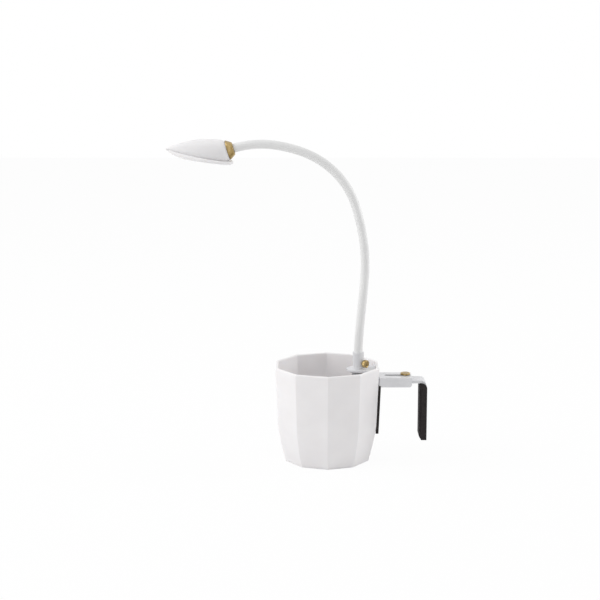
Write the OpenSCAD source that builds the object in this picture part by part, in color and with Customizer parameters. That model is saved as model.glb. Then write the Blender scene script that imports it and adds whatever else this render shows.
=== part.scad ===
// Gooseneck lamp that rises out of a faceted pencil cup, with a clamp that hangs the cup on a panel.
// Millimetres. The origin is the centre of the cup's underside; +Z is up, +X points to the clamp.

/* [Cup] */
// Number of flat sides of the cup
cup_sides = 10; // [8:2:12]
// Height of the cup
cup_h = 100; // [90:1:130]
// Radius over the corners at the rim
cup_top_r = 56; // [50:0.5:70]
// Radius over the corners at the top of the rounded foot
cup_knee_r = 53.4; // [46:0.2:60]
// Height at which the rounded foot runs into the drafted wall
cup_knee_h = 40; // [30:1:45]
// Radius over the corners at the underside
cup_base_r = 45; // [38:0.5:48]
// Wall thickness of the cup, square to a side
cup_wall = 3; // [2:0.2:4]
// Thickness of the cup's floor
cup_floor = 4; // [3:0.5:6]

/* [Shelf and collar] */
// Depth of the shelf's top below the rim
shelf_drop = 4.3; // [3:0.1:8]
// Width of the shelf and of its tongue
shelf_w = 24; // [20:0.5:26]
// Sheet thickness of the shelf bracket
shelf_t = 2; // [1.5:0.1:3]
// Distance from the cup's inner face to the collar's axis
collar_inset = 17.8; // [16:0.1:24]
// Outer diameter of the collar
collar_d = 11.7; // [11.4:0.1:14]
// Height of the collar above the shelf
collar_h = 17.3; // [14:0.1:22]
// Diameter of the collar's threaded spigot under the shelf
spigot_d = 8; // [7:0.5:9]
// Length of the spigot under the shelf's top
spigot_len = 11; // [10:0.5:16]
// Head diameter of the small clamping screw in the collar
thumb_d = 8; // [6:0.5:9]
// Head length of the small clamping screw
thumb_h = 4; // [3:0.5:6]
// Direction of that screw, measured from +X towards -Y (degrees)
thumb_turn = 37; // [0:1:90]

/* [Clamp] */
// Width of the clamp housing and of the pads
clamp_w = 25; // [23:0.5:34]
// Height of the clamp housing
housing_h = 10; // [9.4:0.2:14]
// Length of the clamp housing from the fixed jaw plate
housing_len = 33.4; // [30:0.2:44]
// Depth of the housing's top below the rim
housing_drop = 11.5; // [10:0.5:14]
// Radius of the housing's lower outer edge
housing_edge_r = 3; // [1:0.5:3.2]
// Thickness of the fixed jaw plate
jaw_plate_t = 1.2; // [1:0.1:2]
// Height of the jaws below the housing
jaw_reach = 50; // [40:1:52]
// Rubber over the fixed jaw plate
fixed_pad_t = 1.8; // [1.2:0.1:3]
// Panel gap at the top of the jaws, fully open
panel_gap = 40; // [38:0.5:48]
// Travel of the sliding jaw
jaw_travel = 7.4; // [5:0.1:7.4]
// Width of the sliding bar
bar_w = 20; // [18:0.5:21]
// Thickness of the bar and its leg
bar_t = 3; // [2.6:0.1:3.4]
// Outer radius of the bar's bend
bar_bend_r = 5; // [4:0.5:6]
// Rubber between the leg and the panel
boot_inner_t = 4; // [3:0.1:5]
// Rubber on the outside of the leg
boot_outer_t = 0.8; // [0.6:0.1:2]
// Length of the boot below the bar
boot_len = 60; // [50:1:66]
// Diameter of the clamping knob
knob_d = 10; // [8:0.5:12]
// Height of the clamping knob
knob_h = 2.2; // [2:0.1:5]
// Diameter of the clamping stud
stud_d = 5; // [3:0.5:5.5]

/* [Gooseneck] */
// Outer diameter of the gooseneck
neck_d = 9; // [8:0.1:9]
// Length of each of the eight stretches
link_len = 37.4; // [34:0.2:42]
// Direction in which the neck leaves the collar, 90 is straight up (degrees)
neck_lean = 87.5; // [84:0.5:90]
// Bend of each stretch at rest, positive to the left (degrees)
link_bends = [-3.5, 2.5, 12, 9.5, 26, 24, 16.5, 22.5];
// Straight length of the neck above the collar
neck_straight = 5; // [5:0.5:10]
// Depth of the neck's straight stem in the collar
stem_depth = 14; // [10:0.5:15]
// Play between one stretch's round end and the next one's hollow
link_gap = 0.3; // [0.2:0.05:0.4]

/* [Head] */
// Radius of the ball that forms the back of the head
ball_r = 13.4; // [12.4:0.1:13.6]
// Length of the head from the ball's centre to the tip
head_len = 55.2; // [48:0.2:66]
// Tilt of the head, tip up (degrees)
head_tilt = 6.5; // [4:0.5:12]
// Depth of the seam between shell and bezel below the ball's centre
seam_drop = 6.4; // [6:0.1:7]
// Depth of the tip below the ball's centre, before the tilt
tip_drop = 1.5; // [0:0.1:3]
// Wall thickness of the head shell
shell_t = 1.6; // [1.2:0.1:2]
// Half width of the bezel
bezel_r = 15.9; // [15:0.1:17]
// Thickness of the bezel
bezel_t = 3.5; // [3:0.1:5]
// Thickness of the lens
lens_t = 1.5; // [1:0.1:1.7]
// Distance from the end of the neck to the ball's centre
ferrule_reach = 15.9; // [15.4:0.1:18]
// Diameter of the ferrule's mouth
ferrule_mouth_d = 20; // [18:0.2:20.4]
// Diameter of the ferrule at the neck
ferrule_neck_d = 13; // [11.6:0.2:15]
// Diameter of the hollow stud that holds the ball
nipple_d = 4; // [3.6:0.1:4.4]
// Furthest that the tip tilts up from rest (degrees)
tilt_up = 25; // [10:1:25]
// Furthest that the tip tilts down from rest (degrees)
tilt_down = 5; // [3:1:6]

/* [Hidden] */
$fn = 64;

// Colours
white = "WhiteSmoke";
brass = [0.72, 0.57, 0.32];
steel = [0.62, 0.63, 0.66];
black = [0.09, 0.08, 0.08];

// Clearances
run_gap = 0.05;     // round pieces that turn in each other
slide_gap = 0.2;    // flat pieces that slide in each other
curve_gap = 0.3;    // curved faces on different moving bodies
nib = 0.01;         // overshoot of a cut

// Cup
half_side = 180 / cup_sides;
flat_share = cos(half_side);
knee_power = 1.3;
knee_steps = 7;
rim_round = 0.42 * cup_wall;
rim_steps = 4;
foot_recess = 1;
foot_rim = 7;
draft = atan(flat_share * (cup_top_r - cup_knee_r) / (cup_h - cup_knee_h));
corner_wall = cup_wall / (flat_share * cos(draft));
function knee_share(k) = pow(1 - k, knee_power);
function cup_r(z) = z < cup_knee_h
    ? cup_knee_r - (cup_knee_r - cup_base_r) * knee_share(z / cup_knee_h)
    : cup_knee_r + (cup_top_r - cup_knee_r) * (z - cup_knee_h) / (cup_h - cup_knee_h);
function side_x(z) = flat_share * cup_r(z);
function inner_x(z) = side_x(z) - cup_wall / cos(draft);

// Shelf, collar and their screws; heights and places follow the cup
shelf_z = cup_h - shelf_drop;
collar_x = inner_x(shelf_z) - collar_inset;
collar_top = shelf_z + collar_h;
shelf_leg = 22;
stem_r = neck_d / 2;
socket_r = stem_r + run_gap;
socket_clear = 1;
gasket_d = 18;
gasket_t = 1.5;
nut_af = 12;
nut_t = 4;
lead_d = 4;
grommet_t = 1.2;
thumb_screw_d = 3;
thumb_z = collar_top - 11.3;
thumb_gap = 1.2;
flute_r = 0.35;

// Clamp
housing_top = cup_h - housing_drop;
housing_bottom = housing_top - housing_h;
plate_x = side_x(housing_top) + jaw_plate_t;
housing_end = plate_x + housing_len;
bar_top = housing_top - 3.4;
bar_bottom = bar_top - bar_t;
pad_face_x = side_x(housing_bottom) + jaw_plate_t + fixed_pad_t;
boot_face_x = pad_face_x + panel_gap;
leg_x = boot_face_x + boot_inner_t;
bar_end = leg_x + bar_t;
boot_back_x = bar_end + boot_outer_t;
knob_x = housing_end - 6.3;
bar_start = knob_x - 9;
slot_play = 0.6;
slot_w = stud_d + 2 * slot_play;
slot_start = plate_x + 5.3;
pad_tuck = 1.5;
boot_bevel = 2.2;
boot_bevel_w = 2.5;
boot_toe_h = 3.5;
washer_t = 0.5;
washer_d = knob_d - 1.2;
screw_d = 4;
screw_head_d = 7.4;
screw_head_t = 2.4;
screw_y = 7.5;
screw_z = housing_bottom + housing_h / 2;
screw_grip = 7;

// Gooseneck: heading and end point of every stretch in the plane y = 0
link_count = len(link_bends);
link_r = neck_d / 2;
joint_r = link_r - 0.05;
function heading(i) = i == 0 ? neck_lean : heading(i - 1) + link_bends[i - 1];
function arc_r(i) = link_len * 180 / (PI * abs(link_bends[i]));
function chord(i) = 2 * arc_r(i) * sin(abs(link_bends[i]) / 2);
function along(deg) = [cos(deg), 0, sin(deg)];
function joint_at(i) = i == 0
    ? [collar_x, 0, collar_top + neck_straight]
    : joint_at(i - 1) + chord(i - 1) * along(heading(i - 1) + link_bends[i - 1] / 2);
neck_end = joint_at(link_count);
neck_end_dir = heading(link_count);
tail_len = 1.6;
tail_r = link_r - 0.4;
elbow_r = link_r + 0.08;

// Head, in its own frame: the ball's centre is the origin and the tip points to -X
ball_at = neck_end + ferrule_reach * along(neck_end_dir);
seat_r = ball_r + curve_gap;
ferrule_turn = neck_end_dir - 180;
leaf_power = 1.9;
crown_power = 2;
seam_power = 1.6;
sole_power = 5;
nose_end = 0.98;
nose_steps = 12;
back_steps = 18;
crown_angle = 85;
skin_levels = 12;
bezel_edge = [[0, 1.4], [0.12, 0.6], [0.35, 0.1], [0.6, 0], [0.85, 0.3], [1, 0.9]];
edge_tip = 1.6;
shell_len = head_len - 0.8;
seam_gap = 0.15;
lens_recess = 0.2;
lens_top = lens_recess + lens_t;
lens_r = bezel_r - 2.5;
lens_len = head_len - 11;
lens_play = 0.15;
lens_seat = lens_top + lens_play;
window_r = 5;
window_len = 28;
well_r = sqrt(pow(ball_r - shell_t, 2) - seam_drop * seam_drop) - 0.15;
well_len = 32;
well_z = -seam_drop - 0.3;
board_r = well_r - 0.15;
board_len = well_len - 1;
board_t = 1;
spreader_t = 1.2;
chip_from = 2;
chip_to = 20;
chip_count = 4;
chip_size = 3;
chip_t = 0.7;
board_screw_y = 7.2;
board_screw_d = 2;
nipple_bore = 2.2;
nut_reach = 7.6;
swivel_nut_d = 10.4;

// ---------------------------------------------------------------- shared forms

// Triangles across a ring whose points i and n - 1 - i lie opposite each other
function rungs(n) =
    [for (i = [0:(n - 3) / 2])
        let (j = n - 1 - i)
        each i + 1 < j - 1 ? [[i, i + 1, j - 1], [i, j - 1, j]] : [[i, i + 1, j]]];

// Solid through such rings, closed at each end
module loft(rings) {
    n = len(rings[0]);
    last = len(rings) - 1;
    side = [for (i = [0:last - 1], j = [0:n - 1])
        let (a = i * n + j, b = i * n + (j + 1) % n)
        each [[a, b + n, b], [a, a + n, b + n]]];
    ends = [for (f = rungs(n)) each
        [f, [last * n + f[2], last * n + f[1], last * n + f[0]]]];
    polyhedron([for (r = rings) each r], concat(side, ends), convexity = 6);
}

// The same, with the last ring joined back to the first
module ring_loft(rings) {
    n = len(rings[0]);
    m = len(rings);
    polyhedron([for (r = rings) each r],
               [for (i = [0:m - 1], j = [0:n - 1])
                   let (a = i * n + j, b = i * n + (j + 1) % n,
                        c = (i + 1) % m * n + j, d = (i + 1) % m * n + (j + 1) % n)
                   each [[a, d, b], [a, c, d]]], convexity = 6);
}

// Leaf outline: a half circle of radius r at the back, then two sides that meet in a tip
function nose_t(k) = nose_end * k / nose_steps;
function leaf_half(r, t) = r * (1 - pow(t, leaf_power));
function leaf(r, tip) = concat(
    [for (k = [nose_steps:-1:1]) [-nose_t(k) * tip, -leaf_half(r, nose_t(k))]],
    [for (k = [0:back_steps]) let (a = 180 * k / back_steps - 90) [r * cos(a), r * sin(a)]],
    [for (k = [1:nose_steps]) [-nose_t(k) * tip, leaf_half(r, nose_t(k))]]);
function leaf_ring(r, tip, z) = [for (p = leaf(r, tip)) [p[0], p[1], z]];

module leaf_plate(r, tip, z, t) {
    translate([0, 0, z])
        linear_extrude(t)
            polygon(leaf(r, tip));
}

// Knurled head: a disc with shallow round flutes
module knurled(d, h, flutes) {
    difference() {
        cylinder(d = d, h = h);
        for (k = [0:flutes - 1])
            rotate(k * 360 / flutes)
                translate([d / 2 + flute_r / 3, 0, -nib])
                    cylinder(r = flute_r, h = h + 2 * nib, $fn = 16);
    }
}

// Frame on the cup's +X side at the rim: +X out of the side, +Z up along it
module on_side() {
    translate([side_x(cup_h), 0, cup_h])
        rotate([0, draft, 0])
            children();
}

// Places for the two bracket screws, with +Z out of the side
module at_screws() {
    for (y = [-screw_y, screw_y])
        on_side()
            translate([0, y, (screw_z - cup_h) / cos(draft)])
                rotate([0, 90, 0])
                    children();
}

// Direction of the small clamping screw, with +Z away from the collar's axis
module at_thumb() {
    translate([collar_x, 0, thumb_z])
        rotate([0, 0, -thumb_turn])
            rotate([0, 90, 0])
                children();
}

module on_ball() {
    translate(ball_at)
        rotate([0, head_tilt, 0])
            children();
}

// Frame of the ferrule: +Z from the ball's centre to the end of the neck
module on_ferrule() {
    translate(ball_at)
        rotate([0, 90 - ferrule_turn, 0])
            children();
}

// ---------------------------------------------------------------- cup

// Quarter round of the rim about the point (x, rim_z), from one angle to another
rim_z = cup_h - rim_round;
function rim_arc(x, from, to) =
    [for (k = [0:rim_steps])
        let (a = from + (to - from) * k / rim_steps)
        [x + rim_round * cos(a), rim_z + rim_round * sin(a)]];

// Outline of the cup's outside from the underside to the rim
function cup_outside() = concat(
    [for (k = [0:knee_steps]) [cup_r(cup_knee_h * k / knee_steps), cup_knee_h * k / knee_steps]],
    rim_arc(cup_r(rim_z) - rim_round, 0, 90));

// Outline of the inside from the rim to the middle of the floor
function cup_inside() = concat(
    rim_arc(cup_r(rim_z) - corner_wall + rim_round, 90, 180),
    [for (k = [knee_steps:-1:1])
        let (z = cup_knee_h * k / knee_steps)
        if (z > cup_floor + 2) [cup_r(z) - corner_wall, z]],
    [[cup_r(cup_floor + 2) - corner_wall, cup_floor + 2],
     [cup_r(cup_floor) - corner_wall - 1.5, cup_floor], [0, cup_floor]]);

module cup() color(white) {
    difference() {
        rotate(half_side)
            rotate_extrude($fn = cup_sides)
                polygon(concat([[0, foot_recess], [cup_base_r - foot_rim, foot_recess],
                                [cup_base_r - foot_rim + 1, 0]],
                               cup_outside(), cup_inside()));
        at_screws()
            translate([0, 0, -2 * cup_wall])
                cylinder(d = screw_d + 2 * run_gap, h = 3 * cup_wall);
    }
}

// ---------------------------------------------------------------- shelf and collar

// Bent sheet of the shelf, drawn in X and Z: the level plate and the leg down the inner wall
module shelf_profile() {
    plate_z = shelf_z - shelf_t;
    leg_z = shelf_z - shelf_leg;
    t = shelf_t / cos(draft);
    polygon([[collar_x - shelf_w, shelf_z], [inner_x(shelf_z), shelf_z], [inner_x(leg_z), leg_z],
             [inner_x(leg_z) - t, leg_z], [inner_x(plate_z) - t, plate_z],
             [collar_x - shelf_w, plate_z]]);
}

module shelf_bracket() color(white) {
    difference() {
        intersection() {
            translate([0, shelf_w / 2, 0])
                rotate([90, 0, 0])
                    linear_extrude(shelf_w)
                        shelf_profile();
            translate([0, 0, shelf_z - shelf_leg - 1])
                linear_extrude(shelf_leg + 2) {
                    translate([collar_x, 0])
                        circle(d = shelf_w);
                    translate([collar_x, -shelf_w])
                        square([cup_top_r, 2 * shelf_w]);
                }
        }
        at_screws()
            translate([0, 0, -cup_wall - 2 * shelf_t])
                cylinder(d = screw_d + 2 * run_gap, h = 3 * shelf_t);
        translate([collar_x, 0, shelf_z - 2 * shelf_t])
            cylinder(d = spigot_d + 2 * run_gap, h = 3 * shelf_t);
    }
}

module bracket_screws() color(steel)
    at_screws() {
        translate([0, 0, -cup_wall - shelf_t])
            cylinder(d = screw_d, h = cup_wall + shelf_t + jaw_plate_t + screw_grip);
        difference() {
            translate([0, 0, -cup_wall - shelf_t - screw_head_t])
                cylinder(d = screw_head_d, h = screw_head_t);
            translate([0, 0, -cup_wall - shelf_t - screw_head_t - nib])
                cylinder(d = screw_head_d * 0.45, h = screw_head_t * 0.6, $fn = 6);
        }
    }

module neck_collar() color(white) {
    difference() {
        union() {
            translate([collar_x, 0, shelf_z])
                cylinder(d = collar_d, h = collar_h);
            translate([collar_x, 0, shelf_z - spigot_len])
                cylinder(d = spigot_d, h = spigot_len + 1);
        }
        translate([collar_x, 0, collar_top - stem_depth - socket_clear])
            cylinder(r = socket_r, h = stem_depth + socket_clear + 1);
        translate([collar_x, 0, shelf_z - spigot_len - 1])
            cylinder(d = lead_d, h = spigot_len + collar_h);
        at_thumb()
            cylinder(d = thumb_screw_d + 2 * run_gap, h = collar_d);
    }
}

module collar_gasket() color(black)
    translate([collar_x, 0, shelf_z - shelf_t - gasket_t])
        difference() {
            cylinder(d = gasket_d, h = gasket_t);
            translate([0, 0, -1])
                cylinder(d = spigot_d + 2 * run_gap, h = gasket_t + 2);
        }

module collar_nut() color(steel)
    translate([collar_x, 0, shelf_z - shelf_t - gasket_t - nut_t])
        difference() {
            intersection() {
                cylinder(d = nut_af / cos(30), h = nut_t, $fn = 6);
                cylinder(d = nut_af / cos(30) - 0.6, h = nut_t);
            }
            translate([0, 0, -1])
                cylinder(d = spigot_d + 2 * run_gap, h = nut_t + 2);
        }

// Bush that keeps the leads off the spigot's lower edge
module spigot_grommet() color(black)
    translate([collar_x, 0, shelf_z - spigot_len])
        difference() {
            union() {
                translate([0, 0, -grommet_t])
                    cylinder(d = spigot_d - 1, h = grommet_t);
                cylinder(d = lead_d - 2 * run_gap, h = grommet_t * 2);
            }
            translate([0, 0, -2 * grommet_t])
                cylinder(d = lead_d - 1.4, h = 6 * grommet_t);
        }

module collar_thumbscrew() color(brass)
    at_thumb() {
        translate([0, 0, stem_r + run_gap])
            cylinder(d = thumb_screw_d, h = collar_d / 2 - stem_r + thumb_gap);
        translate([0, 0, collar_d / 2 + thumb_gap])
            knurled(thumb_d, thumb_h, 20);
    }

// ---------------------------------------------------------------- clamp

module fixed_jaw_plate() color(white)
    difference() {
        intersection() {
            on_side()
                translate([0, -bar_w / 2, -cup_h])
                    cube([jaw_plate_t, bar_w, cup_h]);
            translate([0, -bar_w, housing_bottom - jaw_reach + 2])
                cube([cup_top_r * 2, 2 * bar_w, jaw_reach - 2 + housing_h]);
        }
        at_screws()
            translate([0, 0, -1])
                cylinder(d = screw_d + 2 * run_gap, h = jaw_plate_t + 2);
    }

// Rubber sleeve over the plate's face and both of its long edges. Its top lies in the housing
// and is bevelled, so that the face ends level with the housing's underside
module fixed_jaw_pad() color(black)
    difference() {
        intersection() {
            on_side()
                translate([0, -clamp_w / 2, -cup_h])
                    cube([jaw_plate_t + fixed_pad_t, clamp_w, cup_h]);
            translate([0, 0, housing_bottom - jaw_reach])
                rotate([90, 0, 90])
                    linear_extrude(cup_top_r * 2)
                        pad_outline();
        }
        on_side()
            translate([-1, -bar_w / 2, -cup_h])
                cube([jaw_plate_t + 1, bar_w, cup_h]);
        translate([pad_face_x, 0, housing_bottom])
            rotate([0, 45, 0])
                translate([-clamp_w / 2, -clamp_w, 0])
                    cube([clamp_w, 2 * clamp_w, clamp_w]);
    }

module pad_outline() {
    r = fixed_pad_t;
    top = jaw_reach + pad_tuck;
    translate([-clamp_w / 2, r])
        square([clamp_w, top - r]);
    translate([-clamp_w / 2 + r, 0])
        square([clamp_w - 2 * r, top]);
    for (side = [-1, 1])
        translate([side * (clamp_w / 2 - r), r])
            circle(r);
}

// Side profile of the housing, drawn in X and Z
module housing_outline() {
    r = housing_edge_r;
    difference() {
        translate([side_x(housing_bottom), housing_bottom])
            square([housing_end - side_x(housing_bottom), housing_h]);
        translate([housing_end - r, housing_bottom - nib])
            square([r + nib, r + nib]);
    }
    translate([housing_end - r, housing_bottom + r])
        circle(r);
}

module clamp_housing() color(white)
    difference() {
        translate([0, clamp_w / 2, 0])
            rotate([90, 0, 0])
                linear_extrude(clamp_w)
                    housing_outline();
        on_side()
            translate([jaw_plate_t - cup_top_r, -clamp_w, -cup_h])
                cube([cup_top_r, 2 * clamp_w, cup_h]);
        pad_seat();
        translate([bar_start - jaw_travel - 1, -bar_w / 2 - slide_gap, bar_bottom - slide_gap])
            cube([housing_len, bar_w + 2 * slide_gap, bar_t + 2 * slide_gap]);
        translate([0, 0, bar_bottom])
            linear_extrude(housing_h)
                stud_slot();
        at_screws()
            translate([0, 0, -1])
                cylinder(d = screw_d + 2 * run_gap, h = jaw_plate_t + screw_grip + 1.5);
    }

// Rebate in the housing's underside for the top of the fixed jaw's pad
module pad_seat() {
    intersection() {
        on_side()
            translate([0, -clamp_w, -cup_h])
                cube([jaw_plate_t + fixed_pad_t, 2 * clamp_w, cup_h]);
        translate([0, -clamp_w, housing_bottom - 1])
            cube([2 * cup_top_r, 2 * clamp_w, pad_tuck + 1]);
    }
}

module stud_slot() {
    slot_end = knob_x + curve_gap;
    translate([slot_start + slot_w / 2, -slot_w / 2])
        square([slot_end - slot_start - slot_w / 2, slot_w]);
    translate([slot_start + slot_w / 2, 0])
        circle(d = slot_w);
    translate([slot_end, 0])
        circle(d = slot_w);
}

// Strip of the sliding jaw: level bar, round bend, leg
module strip_outline() {
    inner_r = bar_bend_r - bar_t;
    leg_bottom = bar_bottom - boot_len + 2.5;
    translate([bar_start, bar_bottom])
        square([bar_end - bar_bend_r - bar_start, bar_t]);
    translate([leg_x, leg_bottom])
        square([bar_t, bar_top - bar_bend_r - leg_bottom]);
    translate([bar_end - bar_bend_r, bar_top - bar_bend_r])
        intersection() {
            difference() {
                circle(bar_bend_r);
                circle(inner_r);
            }
            square(bar_bend_r);
        }
}

module jaw_bar() color(white)
    difference() {
        translate([0, bar_w / 2, 0])
            rotate([90, 0, 0])
                linear_extrude(bar_w)
                    strip_outline();
        translate([knob_x, 0, bar_bottom - 1])
            cylinder(d = stud_d + 2 * run_gap, h = bar_t + 2);
    }

// Side profile of the boot; its upper outer corner follows the bar's bend
module boot_outline() {
    bottom = bar_bottom - boot_len;
    r = bar_bend_r;
    difference() {
        polygon([[boot_face_x, bar_bottom], [boot_face_x, bottom + boot_toe_h],
                 [boot_face_x + boot_bevel, bottom], [boot_back_x, bottom],
                 [boot_back_x, bar_bottom]]);
        translate([boot_back_x - r, bar_bottom - r])
            difference() {
                square(r + nib);
                circle(r);
            }
    }
}

// The boot seen from above, with bevelled edges towards the panel
module boot_plan() {
    half = clamp_w / 2;
    polygon([[boot_face_x, boot_bevel_w - half], [boot_face_x + boot_bevel, -half],
             [boot_back_x, -half], [boot_back_x, half],
             [boot_face_x + boot_bevel, half], [boot_face_x, half - boot_bevel_w]]);
}

// Rubber boot with a pocket for the leg
module jaw_boot() color(black)
    difference() {
        intersection() {
            translate([0, clamp_w / 2, 0])
                rotate([90, 0, 0])
                    linear_extrude(clamp_w)
                        boot_outline();
            translate([0, 0, bar_bottom - boot_len])
                linear_extrude(boot_len)
                    boot_plan();
        }
        translate([0, bar_w / 2, 0])
            rotate([90, 0, 0])
                linear_extrude(bar_w) {
                    strip_outline();
                    translate([bar_end - bar_bend_r, bar_top - bar_bend_r])
                        difference() {
                            square(2 * bar_bend_r);
                            circle(bar_bend_r - bar_t / 2);
                        }
                }
    }

// Stud fixed in the bar; the washer and the knob sit on it
module clamp_stud() color(steel)
    translate([knob_x, 0, bar_bottom])
        cylinder(d = stud_d, h = housing_top + washer_t + knob_h / 2 - bar_bottom);

module clamp_washer() color(steel)
    translate([knob_x, 0, housing_top])
        difference() {
            cylinder(d = washer_d, h = washer_t);
            translate([0, 0, -1])
                cylinder(d = stud_d + 2 * run_gap, h = washer_t + 2);
        }

module clamp_knob() color(brass)
    translate([knob_x, 0, housing_top + washer_t])
        difference() {
            knurled(knob_d, knob_h, 26);
            translate([0, 0, -1])
                cylinder(d = stud_d, h = knob_h / 2 + 1);
        }

// ---------------------------------------------------------------- gooseneck

// Bent round bar of stretch i, from its first joint to its second
module bent_bar(i) {
    bend = link_bends[i];
    turn = bend > 0 ? 1 : -1;
    centre = joint_at(i) + turn * arc_r(i) * along(heading(i) + 90);
    first = bend > 0 ? heading(i) - 90 : heading(i) + 90 + bend;
    translate(centre)
        rotate([90, 0, 0])
            rotate([0, 0, first])
                rotate_extrude(angle = abs(bend), $fn = 360)
                    translate([arc_r(i), 0])
                        circle(link_r, $fn = 48);
}

// One stretch: hollow at its first joint, round at its second
module neck_link(i) color(white) {
    difference() {
        union() {
            bent_bar(i);
            if (i < link_count - 1)
                translate(joint_at(i + 1))
                    sphere(joint_r);
            if (i == link_count - 1)
                translate(neck_end)
                    rotate([0, 90 - neck_end_dir, 0])
                        translate([0, 0, -1])
                            cylinder(r = tail_r, h = tail_len + 1);
            if (i == 0) {
                translate([collar_x, 0, collar_top - stem_depth])
                    cylinder(r = stem_r, h = stem_depth + neck_straight);
                translate(joint_at(0))
                    sphere(elbow_r);
            }
        }
        if (i > 0)
            translate(joint_at(i))
                sphere(joint_r + link_gap);
    }
}

// ---------------------------------------------------------------- head

module head_ferrule() color(brass)
    on_ferrule()
        difference() {
            mouth_z = sqrt(seat_r * seat_r - ferrule_mouth_d * ferrule_mouth_d / 4);
            rotate_extrude()
                polygon([[0, mouth_z - 1], [ferrule_mouth_d / 2 - 0.3, mouth_z - 0.3],
                         [ferrule_mouth_d / 2, mouth_z + 0.5],
                         [ferrule_mouth_d / 2 - 0.4, mouth_z + 1.6],
                         [ferrule_neck_d / 2 + 0.3, ferrule_reach - 0.6],
                         [ferrule_neck_d / 2 - 0.5, ferrule_reach], [0, ferrule_reach]]);
            sphere(seat_r, $fn = 96);
            translate([0, 0, ferrule_reach - tail_len])
                cylinder(r = tail_r + run_gap, h = tail_len + 1);
            cylinder(d = nipple_d, h = ferrule_reach);
        }

// Hollow stud from the ferrule through the slot in the ball
module swivel_nipple() color(steel)
    on_ferrule()
        difference() {
            translate([0, 0, nut_reach - 1])
                cylinder(d = nipple_d, h = ferrule_reach - tail_len - nut_reach + 1);
            cylinder(d = nipple_bore, h = ferrule_reach);
        }

// Domed nut that holds the ball from inside
module swivel_nut() color(steel)
    on_ferrule()
        difference() {
            intersection() {
                translate([0, 0, nut_reach])
                    cylinder(d = swivel_nut_d, h = ball_r);
                sphere(ball_r - shell_t - curve_gap, $fn = 96);
            }
            cylinder(d = nipple_d, h = ball_r);
        }

// Heights of the head's seam and underside: level below the ball, then rising to the tip
function nose_share(x) = max(0, -x / head_len);
function seam_z(x) = -seam_drop + (seam_drop - tip_drop) * pow(nose_share(x), seam_power);
function sole_z(x) =
    -seam_drop - bezel_t
    + (seam_drop + bezel_t - tip_drop) * pow(nose_share(x), sole_power);

// Skin of the shell: a ball at the back, then a nose whose sections are ovals above the seam.
// r is the ball's radius, tip the nose's length and f the share of the height above the seam
function nose_point(r, tip, f, t) =
    let (h = (r + seam_drop) * (1 - pow(t, crown_power)), mid = seam_drop * (1 - t),
         share = (h * f - mid) / (h - mid))
    [-t * tip, leaf_half(r, t) * sqrt(max(0, 1 - share * share)), seam_z(-t * tip) + h * f];
function skin_ring(r, tip, z) =
    let (back = sqrt(r * r - z * z), f = (z + seam_drop) / (r + seam_drop),
         nose = [for (k = [1:nose_steps]) nose_point(r, tip, f, nose_t(k))])
    concat([for (k = [nose_steps - 1:-1:0]) [nose[k][0], -nose[k][1], nose[k][2]]],
           [for (k = [0:back_steps]) let (a = 180 * k / back_steps - 90)
               [back * cos(a), back * sin(a), z]],
           nose);
// Rings from the seam to the crown
function skin_rings(r, tip) =
    let (low = asin(-seam_drop / r), high = crown_angle)
    [for (k = [0:skin_levels]) skin_ring(r, tip, r * sin(low + (high - low) * k / skin_levels))];
function reversed(list) = [for (k = [len(list) - 1:-1:0]) list[k]];

// Ring of the bezel, a share of the way from its underside to its top, lifted by lift
function tray_ring(r, tip, share, lift) =
    [for (p = leaf(r, tip))
        [p[0], p[1], (1 - share) * sole_z(p[0]) + share * (seam_z(p[0]) - seam_gap) + lift]];
function between(a, b) = (a + b) / 2;

module head_shell() color(white)
    on_ball()
        difference() {
            loft(concat(reversed(skin_rings(ball_r - shell_t, shell_len - 2.2 * shell_t)),
                        skin_rings(ball_r, shell_len)));
            swivel_slot();
        }

// Slot for the hollow stud, as long as the tilt needs
module swivel_slot() {
    half = asin((nipple_d / 2 + curve_gap) / (ball_r - shell_t));
    rest = ferrule_turn + head_tilt;
    rotate([90, 0, 0])
        rotate([0, 0, rest - tilt_down - half])
            rotate_extrude(angle = tilt_up + tilt_down + 2 * half)
                translate([ball_r - 2 * shell_t, -nipple_d / 2 - curve_gap])
                    square([3 * shell_t, nipple_d + 2 * curve_gap]);
}

// Tray with a window over the lens and a well for the board
module head_bezel() color(white)
    on_ball()
        difference() {
            ring_loft(concat(
                [leaf_ring(window_r, window_len, well_z),
                 tray_ring(window_r, window_len, 0, lens_seat),
                 tray_ring(between(window_r, lens_r), between(window_len, lens_len), 0, lens_seat),
                 tray_ring(lens_r, lens_len, 0, lens_seat),
                 tray_ring(lens_r, lens_len, 0, 0)],
                [for (s = bezel_edge)
                    tray_ring(bezel_r - s[1], head_len - edge_tip * s[1], s[0], 0)],
                [tray_ring(between(bezel_r, well_r), between(head_len, well_len), 1, 0),
                 tray_ring(well_r, well_len, 1, 0),
                 leaf_ring(well_r, well_len, well_z)]));
            at_board_screws()
                translate([0, 0, -bezel_t])
                    cylinder(d = board_screw_d + 2 * run_gap, h = bezel_t + 1);
        }

module head_lens() color("White")
    on_ball()
        loft([for (lift = [lens_recess, lens_top])
            tray_ring(lens_r - lens_play, lens_len - 2 * lens_play, 0, lift)]);

// Places of the board's screws, on the floor of the well
module at_board_screws()
    for (side = [-1, 1])
        translate([0, side * board_screw_y, well_z])
            children();

module led_board() color([0.93, 0.93, 0.9])
    on_ball()
        difference() {
            leaf_plate(board_r, board_len, well_z, board_t);
            at_board_screws()
                translate([0, 0, -1])
                    cylinder(d = board_screw_d + 2 * run_gap, h = board_t + 2);
        }

module led_chips() color([0.95, 0.85, 0.45])
    on_ball()
        for (k = [0:chip_count - 1])
            translate([-chip_from - k * (chip_to - chip_from) / (chip_count - 1), 0,
                       well_z - chip_t / 2])
                cube([chip_size, chip_size, chip_t], center = true);

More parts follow.
